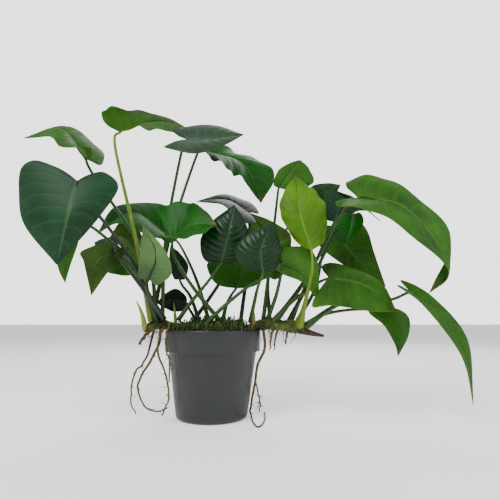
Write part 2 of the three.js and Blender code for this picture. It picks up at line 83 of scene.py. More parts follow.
MM = 0.001
CAD_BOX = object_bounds()
POT_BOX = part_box("pot")
MIX_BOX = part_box("growing_mix")
RIM_RADIUS = (POT_BOX[1].x - POT_BOX[0].x) / 2
POT_HEIGHT = POT_BOX[1].z
LIP_HEIGHT = 25 * MM
LIP_STEP = 5 * MM
BASE_RADIUS = 44 * MM
BASE_EDGE = 5 * MM
POT_WALL = 1.4 * MM
DRAIN_HOLES = 6
DRAIN_CIRCLE = 28 * MM
DRAIN_RADIUS = 3.5 * MM
MIX_RIM = 98 * MM
MIX_INSET = 2 * MM
MIX_CURVE = 2.6
INSIDE_BOX = 0.3 * MM
SAME_POINT = 1e-6
# Without a seed, noise_vector follows the clock and the roots bend anew in each run
NOISE_SEED = 1795151343

# How far along the midrib the lobe, shoulder and waist of an edge lie, and how wide the half is
# there as a share of its shoulder; fan is the share of the outline that is lobe.
FORMS = {
    "heart": dict(root=(-0.15, 0.45), lobe=(-0.2, 0.66), shoulder=(0.12, 1), waist=(0.55, 0.64), fan=0.4),
    "arrow": dict(lobe=(-0.08, 0.66), shoulder=(0.2, 1), waist=(0.6, 0.62), fan=0.3),
    "oval": dict(lobe=(0, 0.6), shoulder=(0.35, 1), waist=(0.72, 0.62), fan=0.25),
}

# Each leaf, in millimetres: stalk, midrib, the shoulders of both halves, and the stand-offs of
# lobes and waists on leaves whose halves turn
LEAVES = {
    "leaf_heart_front_left": dict(
        form="heart", tint="deep", stalk=[[-69, -8, 115], [-100, -34, 190], [-141, -84, 254]],
        midrib=[[-144, -98, 267], [-143, -114, 222], [-157, -100, 173]], left=[-103, -86, 262],
        right=[-216, -86, 268], lobes=[[26, 8, -4], [-62, 8, 12]], waists=[[26, 12, 4], [-54, 16, 2]],
        wave=0.02,
    ),
    "leaf_small_under_heart": dict(
        form="oval", tint="fresh", stalk=[[-80, 3, 114], [-94, -8, 176], [-136, -48, 221]],
        midrib=[[-156, -62, 230], [-162, -69, 195], [-166, -60, 158]], left=[-152, -66, 205],
        right=[-178, -64, 206],
    ),
    "leaf_arched_far_left": dict(
        form="heart", tint="fresh", stalk=[[-73, -2, 114], [-90, 3, 196], [-156, -26, 300]],
        midrib=[[-167, -32, 323], [-195, -48, 356], [-241, -50, 343]], left=[-175, -80, 318],
        right=[-167, 8, 356], lobes=[[0, -25, 20], [0, 20, 20]], waists=[[0, -20, -22], [-5, 55, 30]],
    ),
    "leaf_top_raised": dict(
        form="heart", tint="fresh", stalk=[[-78, -9, 115], [-100, -18, 218], [-132, -26, 342]],
        midrib=[[-129, -22, 366], [-84, 8, 400], [-25, 40, 391]], left=[-112, 34, 402],
        right=[-116, -54, 382], lobes=[[6, 42, 60], [0, -5, 34]], waists=[[0, 35, 2], [0, -35, -10]],
    ),
    "leaf_top_level": dict(
        form="heart", tint="satin", stalk=[[-66, 2, 116], [-66, 0, 220], [-44, -30, 328]],
        midrib=[[-35, -36, 348], [2, -48, 343], [39, -46, 350]], left=[-32, -5, 386],
        right=[-25, -85, 306], lobes=[[-8, 15, 22], [-10, -28, -24]],
        waists=[[5, 28, 30], [8, -20, -20]], wave=0.03,
    ),
    "leaf_wavy_back": dict(
        form="oval", tint="sunlit", stalk=[[-82, 16, 116], [-63, 10, 225], [-32, 19, 346]],
        midrib=[[-22, 22, 361], [36, 32, 344], [63, 28, 282]], left=[36, 62, 373], right=[18, -6, 319],
        lobes=[[15, 18, 18], [15, -24, -22]], waists=[[34, 16, 15], [-14, -25, -10]], wave=0.06,
        waves=3,
    ),
    "leaf_broad_back_left": dict(
        form="heart", tint="sunlit", stalk=[[-8, 18, 117], [-28, 27, 174], [-56, 45, 226]],
        midrib=[[-73, 48, 238], [-124, 42, 272], [-169, 26, 236]], left=[-92, 8, 232],
        right=[-100, 78, 298], lobes=[[-8, -32, 0], [-10, 26, 48]],
        waists=[[-8, -30, -25], [-25, 16, 16]],
    ),
    "leaf_cupped_centre": dict(
        form="heart", tint="sunlit", stalk=[[11, -22, 115], [-19, -22, 150], [-46, -27, 190]],
        midrib=[[-51, -30, 212], [-27, -44, 231], [7, -54, 229]], left=[-38, -18, 270],
        right=[-34, -75, 208], lobes=[[-10, 6, 58], [0, -30, 12]],
        waists=[[16, 2, 18], [20, -26, -15]], puff=-0.1,
    ),
    "leaf_pale_upright": dict(
        form="oval", tint="pale", stalk=[[-59, -17, 118], [-70, -32, 138], [-76, -46, 155]],
        midrib=[[-73, -48, 164], [-62, -61, 193], [-82, -54, 229]], left=[-42, -66, 172],
        right=[-82, -60, 188],
    ),
    "leaf_dark_small": dict(
        form="oval", tint="shade", stalk=[[-18, 4, 113], [-31, 8, 146], [-42, 6, 161]],
        midrib=[[-46, 4, 170], [-48, 2, 194], [-60, 4, 215]], left=[-59, 0, 188], right=[-36, 8, 188],
    ),
    "leaf_young_low": dict(
        form="oval", tint="shade", stalk=[[-25, 26, 113], [-29, 28, 121], [-36, 29, 132]],
        midrib=[[-40, 30, 140], [-60, 32, 145], [-81, 30, 140]], left=[-56, 28, 128],
        right=[-56, 33, 160],
    ),
    "leaf_drooping_left": dict(
        form="heart", tint="olive", stalk=[[-62, -9, 117], [-84, -38, 156], [-112, -48, 192]],
        midrib=[[-119, -44, 200], [-134, -55, 182], [-137, -54, 144]], left=[-114, -32, 190],
        right=[-146, -68, 194], waists=[[14, 6, -6], [-10, -8, 2]],
    ),
    "leaf_dark_left": dict(
        form="oval", tint="satin", stalk=[[-71, 9, 114], [-95, 4, 163], [-122, -3, 204]],
        midrib=[[-127, -8, 213], [-142, -8, 218], [-157, -10, 216]], left=[-137, -24, 198],
        right=[-140, 10, 228],
    ),
    "leaf_olive_back_left": dict(
        form="heart", tint="olive", stalk=[[-88, 24, 116], [-94, 30, 154], [-102, 27, 196]],
        midrib=[[-109, 24, 213], [-132, 27, 233], [-153, 28, 229]], left=[-118, 26, 254],
        right=[-118, 20, 198],
    ),
    "leaf_narrow_left": dict(
        form="oval", tint="sunlit", stalk=[[-79, 22, 113], [-88, 20, 146], [-97, 11, 175]],
        midrib=[[-104, 11, 188], [-125, 10, 191], [-143, 8, 179]], left=[-118, 13, 208],
        right=[-118, 7, 175],
    ),
    "leaf_ribbed_centre": dict(
        form="oval", tint="ribbed", stalk=[[-41, -22, 117], [-24, -34, 138], [-2, -41, 164]],
        midrib=[[12, -38, 186], [21, -47, 220], [27, -38, 259]], left=[-15, -36, 214],
        right=[46, -34, 208], puff=0.18, wave=0.03,
    ),
    "leaf_ribbed_front": dict(
        form="oval", tint="ribbed", stalk=[[47, -18, 115], [52, -36, 137], [56, -56, 154]],
        midrib=[[62, -62, 170], [60, -71, 197], [74, -62, 229]], left=[29, -62, 196],
        right=[83, -60, 195], puff=0.18, wave=0.03,
    ),
    "leaf_round_low": dict(
        form="oval", tint="sunlit", stalk=[[12, 2, 117], [16, 2, 135], [22, 2, 148]],
        midrib=[[29, 2, 158], [39, 10, 190], [47, 14, 221]], left=[77, 8, 186], right=[-9, 2, 190],
    ),
    "leaf_dark_back_centre": dict(
        form="heart", tint="satin", stalk=[[-33, 38, 113], [7, 38, 173], [45, 36, 244]],
        midrib=[[44, 32, 270], [14, 25, 286], [-29, 16, 281]], left=[30, -8, 250], right=[40, 60, 297],
    ),
    "leaf_olive_back_centre": dict(
        form="oval", tint="olive", stalk=[[34, 20, 114], [44, 32, 174], [66, 38, 201]],
        midrib=[[80, 42, 206], [72, 46, 242], [44, 42, 273]], left=[107, 48, 238], right=[48, 40, 230],
    ),
    "leaf_back_tall": dict(
        form="oval", tint="fresh", stalk=[[64, -2, 118], [75, 18, 200], [84, 12, 276]],
        midrib=[[87, 8, 298], [102, 5, 318], [117, 4, 338]], left=[85, 0, 319], right=[135, 11, 307],
    ),
    "leaf_bright_upright": dict(
        form="oval", tint="lime", stalk=[[109, -8, 111], [112, -42, 136], [120, -52, 174]],
        midrib=[[121, -48, 199], [108, -54, 240], [106, -28, 300]], left=[84, -50, 242],
        right=[141, -43, 252], waves=2,
    ),
    "leaf_green_centre": dict(
        form="oval", tint="fresh", stalk=[[-9, -34, 108], [16, -36, 133], [49, -28, 160]],
        midrib=[[70, -18, 171], [85, -14, 197], [98, -14, 221]], left=[66, -12, 200],
        right=[98, -6, 184],
    ),
    "leaf_green_right": dict(
        form="heart", tint="fresh", stalk=[[68, -6, 115], [79, -19, 145], [85, -28, 171]],
        midrib=[[88, -28, 185], [112, -38, 170], [131, -30, 138]], left=[87, -31, 172],
        right=[120, -25, 207],
    ),
    "leaf_arrow_right": dict(
        form="arrow", tint="fresh", stalk=[[74, -13, 115], [98, -17, 138], [128, -21, 160]],
        midrib=[[145, -25, 168], [184, -42, 157], [219, -46, 126]], left=[168, -8, 188],
        right=[142, -64, 132], lobes=[[2, 14, 16], [-20, -32, -36]],
        waists=[[15, 12, 10], [0, -14, -26]], wave=0.03,
    ),
    "leaf_hanging_right": dict(
        form="oval", tint="fresh", stalk=[[116, 6, 110], [140, 2, 123], [169, -4, 129]],
        midrib=[[201, -8, 130], [223, -16, 111], [228, -16, 73]], left=[247, -6, 124],
        right=[213, -14, 110], wave=0.03,
    ),
    "leaf_dark_right": dict(
        form="arrow", tint="fresh", stalk=[[109, 14, 116], [135, 20, 158], [149, 26, 210]],
        midrib=[[166, 32, 249], [190, 26, 207], [230, 16, 161]], left=[210, 23, 246],
        right=[146, 30, 220], wave=0.03,
    ),
    "leaf_deep_back_right": dict(
        form="oval", tint="deep", stalk=[[103, 24, 116], [126, 39, 167], [159, 52, 236]],
        midrib=[[173, 56, 262], [193, 58, 306], [242, 52, 261]], left=[163, 53, 310],
        right=[205, 57, 276], wave=0.03,
    ),
    "leaf_small_right": dict(
        form="oval", tint="sunlit", stalk=[[95, -2, 114], [132, 1, 178], [166, 2, 239]],
        midrib=[[187, 2, 258], [180, -3, 234], [171, -4, 212]], left=[199, -1, 244],
        right=[157, 0, 242], wave=0.02,
    ),
    "leaf_long_arching": dict(
        form="arrow", tint="fresh", stalk=[[79, -6, 115], [120, -12, 171], [161, -30, 245]],
        midrib=[[184, -34, 269], [232, -50, 254], [268, -56, 206], [283, -48, 169], [265, -32, 148]],
        left=[234, -20, 299], right=[197, -73, 235], waists=[[14, 12, 32], [-6, -14, -14]], wave=0.03,
    ),
    "leaf_long_far_right": dict(
        form="arrow", tint="fresh", stalk=[[116, -8, 108], [162, -12, 137], [218, -26, 141]],
        midrib=[[237, -44, 149], [264, -62, 121], [281, -68, 80], [292, -56, 25]],
        left=[264, -46, 142], right=[238, -72, 132], lobes=[[2, 5, 8], [-10, -12, 0]],
        waists=[[10, 5, 6], [-6, -8, -8]], wave=0.03,
    ),
    "leaf_grey_back_right": dict(
        form="oval", tint="satin", stalk=[[74, 30, 114], [74, 48, 182], [101, 60, 250]],
        midrib=[[133, 64, 291], [153, 63, 310], [186, 58, 321]], left=[167, 75, 294],
        right=[140, 50, 315], wave=0.03,
    ),
}
PUFF = 0.1
WAVE = 0.05
WAVES = 2.5
WAVE_PHASE = 0.37
VEIN_LEAN = 1.25
VEIN_SWEEP = 0.09
RUFFLE = 0.045
MARGIN_FOLDS = 6

# Upper and lower colour of each kind of blade, its tip, its roughness above, and its stalk. The lower colour
# is lighter partly as the paler underside and partly as painted light shining through the blade. The backlit
# green is the leaf's green brightened by painted light shining through it, and the shaded green is darkened
# by painted shade.
BROWN_TIP = (0.10, 0.07, 0.02)
DARK_TIP = (0.004, 0.020, 0.018)
TINTS = {
    "deep": ((0.005, 0.034, 0.011), (0.014, 0.062, 0.016), DARK_TIP, 0.46, "dark"),
    "fresh": ((0.020, 0.084, 0.003), (0.030, 0.110, 0.006), BROWN_TIP, 0.46, "green"),
    "satin": ((0.010, 0.034, 0.013), (0.018, 0.054, 0.017), DARK_TIP, 0.42, "green"),
    # Painted light: green brightened as if lit through from behind
    "sunlit": ((0.003, 0.066, 0.001), (0.016, 0.088, 0.003), BROWN_TIP, 0.42, "green"),
    "pale": ((0.056, 0.120, 0.034), (0.062, 0.128, 0.038), BROWN_TIP, 0.58, "dark"),
    # Painted shade: green darkened as if lying in the shade of other leaves
    "shade": ((0.003, 0.014, 0.005), (0.008, 0.026, 0.008), DARK_TIP, 0.42, "dark"),
    "olive": ((0.026, 0.064, 0.006), (0.046, 0.100, 0.012), BROWN_TIP, 0.52, "dark"),
    "ribbed": ((0.002, 0.022, 0.004), (0.010, 0.044, 0.009), DARK_TIP, 0.26, "green"),
    # Partly the leaf's own yellow-green, partly painted light shining through the blade
    "lime": ((0.055, 0.145, 0.001), (0.080, 0.190, 0.003), BROWN_TIP, 0.44, "green"),
}
STALKS = {"dark": (0.008, 0.026, 0.005), "green": (0.020, 0.066, 0.005), "lime": (0.12, 0.20, 0.008)}
STALK_RADII = (3.0 * MM, 1.7 * MM)
BRIGHT_STALKS = {"leaf_top_raised": "lime", "leaf_bright_upright": "lime"}
# Leaves whose margins are frilled, and by what share of their half width
FRILLS = {"leaf_wavy_back": 0.045, "leaf_bright_upright": 0.06, "leaf_top_raised": 0.05,
          "leaf_cupped_centre": 0.05, "leaf_long_arching": 0.03}
SWOLLEN_BASES = {
    "leaf_bright_upright": 7.5 * MM, "leaf_heart_front_left": 4.5 * MM, "leaf_top_raised": 4 * MM,
    "leaf_long_far_right": 5 * MM, "leaf_long_arching": 4.5 * MM,
}

RHIZOMES = {
    "rhizome_left": ([(-40, 0, 104), (-62, -2, 111), (-76, -4, 110), (-88, -4, 103)], (8, 6)),
    "rhizome_left_back": ([(-38, 20, 103), (-60, 18, 110), (-78, 18, 109), (-90, 20, 104)], (7, 5)),
    "rhizome_right": ([(40, -2, 103), (62, -4, 111), (90, -5, 110), (118, -4, 106)], (8, 10)),
    "rhizome_right_back": ([(42, 22, 103), (62, 26, 111), (86, 22, 110), (104, 20, 107)], (7, 7)),
}
STUB = ([(112, -4, 104), (126, -5, 100), (140, -5, 97)], (5, 1.6))
ROOTS = {
    "root_left_long": ([(-66, -6, 106), (-65, -20, 86), (-72, -23, 70), (-83, -24, 49), (-86, -22, 36),
                        (-80, -16, 17), (-64, -12, 9), (-52, -10, 13)], (1.8, 0.8)),
    "root_left_outer": ([(-76, 4, 106), (-81, -4, 78), (-86, -7, 63), (-94, -8, 54), (-98, -8, 33),
                         (-97, -10, 20), (-90, -14, 6)], (1.6, 0.7)),
    "root_left_inner": ([(-60, -6, 109), (-60, -24, 104), (-62, -33, 80), (-54, -34, 60),
                         (-48, -31, 38), (-49, -30, 23), (-54, -32, 9)], (1.6, 0.8)),
    "root_left_short": ([(-54, -6, 112), (-51, -28, 112), (-51, -42, 96), (-49, -45, 80),
                         (-45, -47, 70), (-45, -46, 48)], (1.5, 0.8)),
    "root_left_thick": ([(-74, -6, 108), (-81, -12, 100), (-90, -17, 87)], (2.6, 1.6)),
    "root_right_long": ([(64, -6, 106), (65, -13, 86), (61, -16, 74), (55, -14, 60), (53, -12, 42),
                         (50, -6, 24), (47, 8, 7), (47, 16, 1.5)], (2, 1.1)),
    "root_right_a": ([(76, -6, 106), (73, -8, 92), (72, -8, 80)], (1.8, 0.8)),
    "root_right_b": ([(82, 4, 106), (79, 5, 92), (78, 6, 80)], (1.6, 0.8)),
    "root_right_c": ([(94, -4, 106), (93, -4, 96), (92, -5, 87)], (1.6, 0.9)),
}
ROOT_FORK = ([(53, -12, 44), (57, -13, 30), (59, -14, 18), (58, -14, 9)], (1, 0.7))
ROOT_ON_FLOOR = ([(47, 12, 3.6), (49, -8, 1.4), (50, -30, 1.4), (55, -52, 1.4), (61, -40, 1.4),
                  (65, -10, 1.4), (65, 20, 1.4)], (1.1, 0.8))
SHOOTS = {
    "sheath_left": ([(-85, -6, 104), (-90, -8, 124), (-98, -10, 142)], (4, 0.8)),
    "shoot_centre": ([(-46, -8, 104), (-48, -9, 124), (-50, -9, 139)], (3, 0.8)),
    "sheath_brown": ([(50, -10, 104), (52, -11, 118), (52, -11, 129)], (3.4, 1)),
    "twig_dry": ([(27, -16, 104), (28, -16, 116), (26, -16, 127)], (1.4, 0.8)),
}
SLOTS = {part["node"]: part["material_slot"] for part in frame["record"]["subparts"]}


class PlantPotSettings(PropertyGroup):
    ribs: IntProperty(name="Ribs", description="Fine upright ribs around the pot", default=72, min=12)
    rib_depth: FloatProperty(
        name="Rib depth", description="How far a rib stands out", default=0.4 * MM, unit="LENGTH",
        precision=5)
    colour: FloatVectorProperty(
        name="Colour", description="Plastic of the pot", default=(0.012, 0.0145, 0.0138), size=3,
        subtype="COLOR")


class PlantMixSettings(PropertyGroup):
    bark: IntProperty(name="Bark chips", description="Chips on the growing mix", default=240, min=0)
    moss: IntProperty(name="Moss strands", description="Green strands on the mix", default=420, min=0)
    fine_roots: IntProperty(name="Fine roots", description="Pale root loops on the mix", default=46, min=0)
    colour: FloatVectorProperty(
        name="Colour", description="Damp bark", default=(0.016, 0.010, 0.006), size=3, subtype="COLOR")


class PlantLeafSettings(PropertyGroup):
    rows: IntProperty(name="Rows", description="Steps along a blade's edge", default=84, min=12)
    columns: IntProperty(name="Columns", description="Steps across a blade", default=40, min=4)
    veins: IntProperty(name="Veins", description="Side veins on each half", default=13, min=3)
    thickness: FloatProperty(
        name="Thickness", description="Of a blade", default=0.7 * MM, unit="LENGTH", precision=5)
    vein_depth: FloatProperty(
        name="Vein depth", description="How deep side veins are pressed in", default=0.5 * MM,
        unit="LENGTH", precision=5)
    rib_depth: FloatProperty(
        name="Ribbed depth", description="The same on the ribbed leaves", default=1.8 * MM,
        unit="LENGTH", precision=5)


class PlantRootSettings(PropertyGroup):
    hairs: IntProperty(name="Rootlets", description="Side rootlets on a root", default=16, min=0)
    colour: FloatVectorProperty(
        name="Colour", description="Live root", default=(0.090, 0.064, 0.021), size=3, subtype="COLOR")


class PlantStageSettings(PropertyGroup):
    floor: FloatVectorProperty(
        name="Floor", description="Colour of the plain floor", default=(0.86, 0.86, 0.86), size=3,
        subtype="COLOR")
    glow: FloatProperty(
        name="Floor glow", description="Light that the floor gives off", default=0.45, min=0)
    size: FloatProperty(name="Floor size", description="Width of the floor", default=60, unit="LENGTH")


def smooth(points, share):
    """Point on the smooth curve through given points, at a share from 0 to 1."""
    spans = len(points) - 1
    at = min(max(share, 0), 1) * spans
    k = min(int(at), spans - 1)
    f = at - k
    b, c = points[k], points[k + 1]
    a = points[k - 1] if k > 0 else b * 2 - c
    d = points[k + 2] if k < spans - 1 else c * 2 - b
    return (a * (-f + 2 * f * f - f**3) + b * (2 - 5 * f * f + 3 * f**3)
            + c * (f + 4 * f * f - 3 * f**3) + d * (-f * f + f**3)) / 2


def tangent(points, share, step=0.01):
    return (smooth(points, min(share + step, 1)) - smooth(points, max(share - step, 0))).normalized()


def metres(points):
    return [Vector(p) * MM for p in points]


def along(midrib, share):
    """The midrib's course, carried straight back behind the stalk's end."""
    if share >= 0:
        return smooth(midrib, share)
    steps = [smooth(midrib, i / 40) for i in range(41)]
    length = sum((b - a).length for a, b in zip(steps, steps[1:]))
    return midrib[0] + tangent(midrib, 0) * share * length


def edge(leaf, side):
    """The left (0) or right (1) edge of a blade, from the notch to the tip."""
    midrib = metres(leaf["midrib"])
    form = FORMS[leaf["form"]]
    half = Vector((leaf["left"], leaf["right"])[side]) * MM - along(midrib, form["shoulder"][0])

    def stand_off(width, given):
        return Vector(given[side]) * MM if given else half * width

    lobe_off = stand_off(form["lobe"][1], leaf.get("lobes"))
    points = [midrib[0]]
    if "root" in form:
        points.append(along(midrib, form["root"][0]) + lobe_off * form["root"][1])
    points.append(along(midrib, form["lobe"][0]) + lobe_off)
    points.append(along(midrib, form["shoulder"][0]) + half)
    points.append(along(midrib, form["waist"][0]) + stand_off(form["waist"][1], leaf.get("waists")))
    return points + [midrib[-1]]


def deselect():
    if bpy.context.mode != "OBJECT":
        bpy.ops.object.mode_set(mode="OBJECT")
    bpy.ops.object.select_all(action="DESELECT")


def choose(obj):
    deselect()
    obj.select_set(True)
    bpy.context.view_layer.objects.active = obj


def join(pieces, name):
    deselect()
    for piece in pieces:
        piece.select_set(True)
    bpy.context.view_layer.objects.active = pieces[0]
    if len(pieces) > 1:
        bpy.ops.object.join()
    pieces[0].name = name
    return pieces[0]


def apply_modifier(obj, kind, **values):
    choose(obj)
    modifier = obj.modifiers.new(kind.title(), kind)
    for key, value in values.items():
        setattr(modifier, key, value)
    bpy.ops.object.modifier_apply(modifier=modifier.name)


def keep_inside(obj):
    """Holds every vertex inside the solids' box, and off the floor."""
    low, high = CAD_BOX
    for vertex in obj.data.vertices:
        for axis in range(3):
            least = low[axis] + (INSIDE_BOX if axis < 2 else 0)
            vertex.co[axis] = min(max(vertex.co[axis], least), high[axis] - INSIDE_BOX)


def settle(piece, slot, *nodes):
    """Finishes a piece: smooth, inside the box, riding on the plant, standing for its solids."""
    choose(piece)
    bpy.ops.object.shade_smooth()
    keep_inside(piece)
    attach(piece, "root")
    if nodes:
        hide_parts(*nodes)
    return piece


def tubes(name, strands, steps, sides, material, wobble=0.0):
    """Closed round stems in one mesh; each strand is its route and its radius by the share along it."""
    deselect()
    bpy.ops.curve.primitive_bezier_curve_add(location=(0, 0, 0))
    curve = bpy.context.object.data
    curve.splines.clear()
    curve.dimensions = "3D"
    noise.seed_set(NOISE_SEED)
    for seed, (route, radius) in enumerate(strands):
        spline = curve.splines.new("POLY")
        spline.points.add(steps)
        for i, point in enumerate(spline.points):
            share = i / steps
            place = smooth(route, share)
            if wobble:
                drift = noise.noise_vector(Vector((share * 9, seed + route[0].x * 99, 0.5)))
                place = place + drift * wobble
            point.co = (*place, 1)
            point.radius = radius(share)
    curve.bevel_depth = 1
    curve.bevel_resolution = max(sides // 4 - 1, 0)
    curve.use_fill_caps = True
    bpy.ops.object.convert(target="MESH")
    obj = bpy.context.object
    obj.name = name
    bpy.ops.object.mode_set(mode="EDIT")
    bpy.ops.mesh.select_all(action="SELECT")
    bpy.ops.mesh.remove_doubles(threshold=SAME_POINT)
    bpy.ops.mesh.normals_make_consistent(inside=False)
    bpy.ops.object.mode_set(mode="OBJECT")
    obj.data.materials.clear()
    obj.data.materials.append(material)
    return obj


def tube(name, route, radius, steps, sides, material, wobble=0.0):
    return tubes(name, [(route, radius)], steps, sides, material, wobble)


def taper(radii, power=1.0):
    return lambda share: radii[0] + (radii[1] - radii[0]) * share**power


class Nodes:
    """A material's shader, and the nodes that feed it."""

    def __init__(self, name, roughness, specular=0.5):
        self.material = bpy.data.materials.new(name)
        self.material.use_nodes = True
        self.tree = self.material.node_tree
        self.shader = self.tree.nodes["Principled BSDF"]
        self.shader.inputs["Roughness"].default_value = roughness
        self.shader.inputs["Specular IOR Level"].default_value = specular

    def add(self, kind, **values):
        node = self.tree.nodes.new("ShaderNode" + kind)
        for key, value in values.items():
            setattr(node, key, value)
        return node

    def link(self, source, target):
        self.tree.links.new(source, target)

    def coordinates(self, scale=(1, 1, 1)):
        source = self.add("TexCoord").outputs["Object"]
        mapping = self.add("Mapping")
        mapping.inputs["Scale"].default_value = scale
        self.link(source, mapping.inputs["Vector"])
        return mapping.outputs["Vector"]

    def noise(self, vector, scale, detail=4.0, rough=0.55):
        node = self.add("TexNoise")
        node.inputs["Scale"].default_value = scale
        node.inputs["Detail"].default_value = detail
        node.inputs["Roughness"].default_value = rough
        self.link(vector, node.inputs["Vector"])
        return node.outputs["Fac"]

    def ramp(self, source, stops):
        node = self.add("ValToRGB")
        while len(node.color_ramp.elements) < len(stops):
            node.color_ramp.elements.new(0.5)
        for element, (place, colour) in zip(node.color_ramp.elements, stops):
            element.position = place
            element.color = (*colour, 1)
        self.link(source, node.inputs["Fac"])
        return node.outputs["Color"]

    def math(self, operation, a, b=None):
        node = self.add("Math", operation=operation)
        for socket, value in zip(node.inputs, (a, b)):
            if isinstance(value, (int, float)):
                socket.default_value = value
            elif value is not None:
                self.link(value, socket)
        return node.outputs[0]

    def mix(self, share, a, b):
        node = self.add("Mix", data_type="RGBA")
        for socket, value in ((node.inputs[0], share), (node.inputs[6], a), (node.inputs[7], b)):
            if isinstance(value, tuple):
                socket.default_value = (*value, 1)
            elif isinstance(value, (int, float)):
                socket.default_value = value
            else:
                self.link(value, socket)
        return node.outputs[2]

    def colour(self, source):
        self.link(source, self.shader.inputs["Base Color"])

    def roughness(self, source, low, high):
        node = self.add("MapRange")
        node.inputs["To Min"].default_value = low
        node.inputs["To Max"].default_value = high
        self.link(source, node.inputs["Value"])
        self.link(node.outputs[0], self.shader.inputs["Roughness"])

    def bump(self, source, distance, strength=0.6):
        node = self.add("Bump")
        node.inputs["Strength"].default_value = strength
        node.inputs["Distance"].default_value = distance
        self.link(source, node.inputs["Height"])
        self.link(node.outputs["Normal"], self.shader.inputs["Normal"])


def shaded(colour, factor):
    return tuple(min(channel * factor, 1) for channel in colour)


def blade_material(tint, upper):
    """Blade finish: vein lines in the leaf's own map, mottling, a browned tip and a fine grain."""
    name = f"blade_{tint}_{'upper' if upper else 'under'}"
    if name in bpy.data.materials:
        return bpy.data.materials[name]
    above, below, tip_colour, rough, _ = TINTS[tint]
    # The lower colour is lighter partly as the paler underside and partly as painted light shining through
    # the blade
    base = above if upper else below
    nodes = Nodes(name, rough if upper else 0.6, 0.22 if tint in ("satin", "ribbed") else 0.16)
    veins = bpy.context.scene.plant_leaves.veins
    split = nodes.add("SeparateXYZ")
    nodes.link(nodes.add("TexCoord").outputs["UV"], split.inputs[0])
    along_blade, across = split.outputs[0], split.outputs[1]
    wander = nodes.noise(nodes.coordinates(), 40)
    to_midrib = nodes.math("ABSOLUTE", nodes.math("SUBTRACT", across, 0.5))
    swept = nodes.math("SUBTRACT", along_blade,
                       nodes.math("MULTIPLY", nodes.math("MULTIPLY", to_midrib, to_midrib), 4 * VEIN_SWEEP))
    turns = nodes.math("ADD", nodes.math("MULTIPLY", swept, float(veins)),
                       nodes.math("MULTIPLY", nodes.math("SUBTRACT", wander, 0.5), 0.35))
    to_vein = nodes.math("PINGPONG", turns, 0.5)
    side_vein = nodes.ramp(to_vein, [(0.0, (1, 1, 1)), (0.06, (0.25, 0.25, 0.25)), (0.16, (0, 0, 0))])
    midrib = nodes.ramp(to_midrib, [(0.0, (1, 1, 1)), (0.012, (0.6, 0.6, 0.6)), (0.03, (0, 0, 0))])
    mottle = nodes.noise(nodes.coordinates(), 28, 6)
    body = nodes.ramp(mottle, [(0.3, shaded(base, 0.6)), (0.52, base), (0.75, shaded(base, 1.5))])
    vein_colour = tuple(c * 1.1 + d for c, d in zip(base, (0.014, 0.030, 0.006)))
    lined = nodes.mix(nodes.math("MULTIPLY", side_vein, 0.5), body, vein_colour)
    lined = nodes.mix(nodes.math("MULTIPLY", midrib, 0.8), lined, shaded(vein_colour, 1.5))
    margin = nodes.ramp(to_midrib, [(0.0, (0, 0, 0)), (0.485, (0, 0, 0)), (0.5, (0.45, 0.45, 0.45))])
    lined = nodes.mix(margin, lined, tuple(c + d for c, d in zip(base, (0.05, 0.09, 0.01))))
    tip = nodes.ramp(along_blade, [(0.0, (0, 0, 0)), (0.965, (0, 0, 0)), (1.0, (0.8, 0.8, 0.8))])
    nodes.colour(nodes.mix(tip, lined, tip_colour))
    grain = nodes.noise(nodes.coordinates(), 420, 3)
    cells = nodes.add("TexVoronoi")
    cells.inputs["Scale"].default_value = 260
    nodes.link(nodes.coordinates(), cells.inputs["Vector"])
    height = nodes.math("ADD", nodes.math("MULTIPLY", grain, 0.5), cells.outputs["Distance"])
    nodes.bump(nodes.math("SUBTRACT", height, side_vein), 0.25 * MM, 0.45)
    nodes.roughness(mottle, rough if upper else 0.5, (rough if upper else 0.5) + 0.16)
    return nodes.material


def stalk_material(kind):
    name = f"stalk_{kind}"
    if name in bpy.data.materials:
        return bpy.data.materials[name]
    base = STALKS[kind]
    nodes = Nodes(name, 0.4, 0.3)
    streaks = nodes.noise(nodes.coordinates((1, 1, 0.12)), 420, 4)
    patches = nodes.noise(nodes.coordinates(), 34, 4)
    colour = nodes.ramp(streaks, [(0.3, shaded(base, 0.6)), (0.55, base), (0.8, shaded(base, 1.6))])
    nodes.colour(nodes.mix(nodes.math("MULTIPLY", patches, 0.35), colour, shaded(base, 0.5)))
    nodes.bump(streaks, 0.2 * MM, 0.4)
    nodes.roughness(patches, 0.3, 0.5)
    return nodes.material


def rough_material(name, stops, scale, bump, rough=(0.6, 0.9), stretch=(1, 1, 1)):
    """Bark, root and rhizome finishes: mottled over the given colours with a coarse grain."""
    if name in bpy.data.materials:
        return bpy.data.materials[name]
    nodes = Nodes(name, rough[0], 0.25)
    mottle = nodes.noise(nodes.coordinates(stretch), scale, 8, 0.65)
    fine = nodes.noise(nodes.coordinates(), scale * 5, 4)
    nodes.colour(nodes.ramp(mottle, stops))
    nodes.bump(nodes.math("ADD", mottle, nodes.math("MULTIPLY", fine, 0.4)), bump, 0.8)
    nodes.roughness(fine, *rough)
    return nodes.material


def pot_material(base):
    """Moulded plastic: a soft sheen, fine upright draw lines and dusty patches."""
    nodes = Nodes("pot_plastic", 0.42, 0.38)
    lines = nodes.noise(nodes.coordinates((1, 1, 0.03)), 300, 4)
    patches = nodes.noise(nodes.coordinates(), 30, 5)
    dusty = nodes.mix(nodes.math("MULTIPLY", patches, 0.6), base, shaded(base, 2.2))
    nodes.colour(nodes.mix(nodes.math("MULTIPLY", lines, 0.35), dusty, shaded(base, 0.6)))
    nodes.bump(lines, 0.15 * MM, 0.4)
    nodes.roughness(patches, 0.34, 0.52)
    return nodes.material


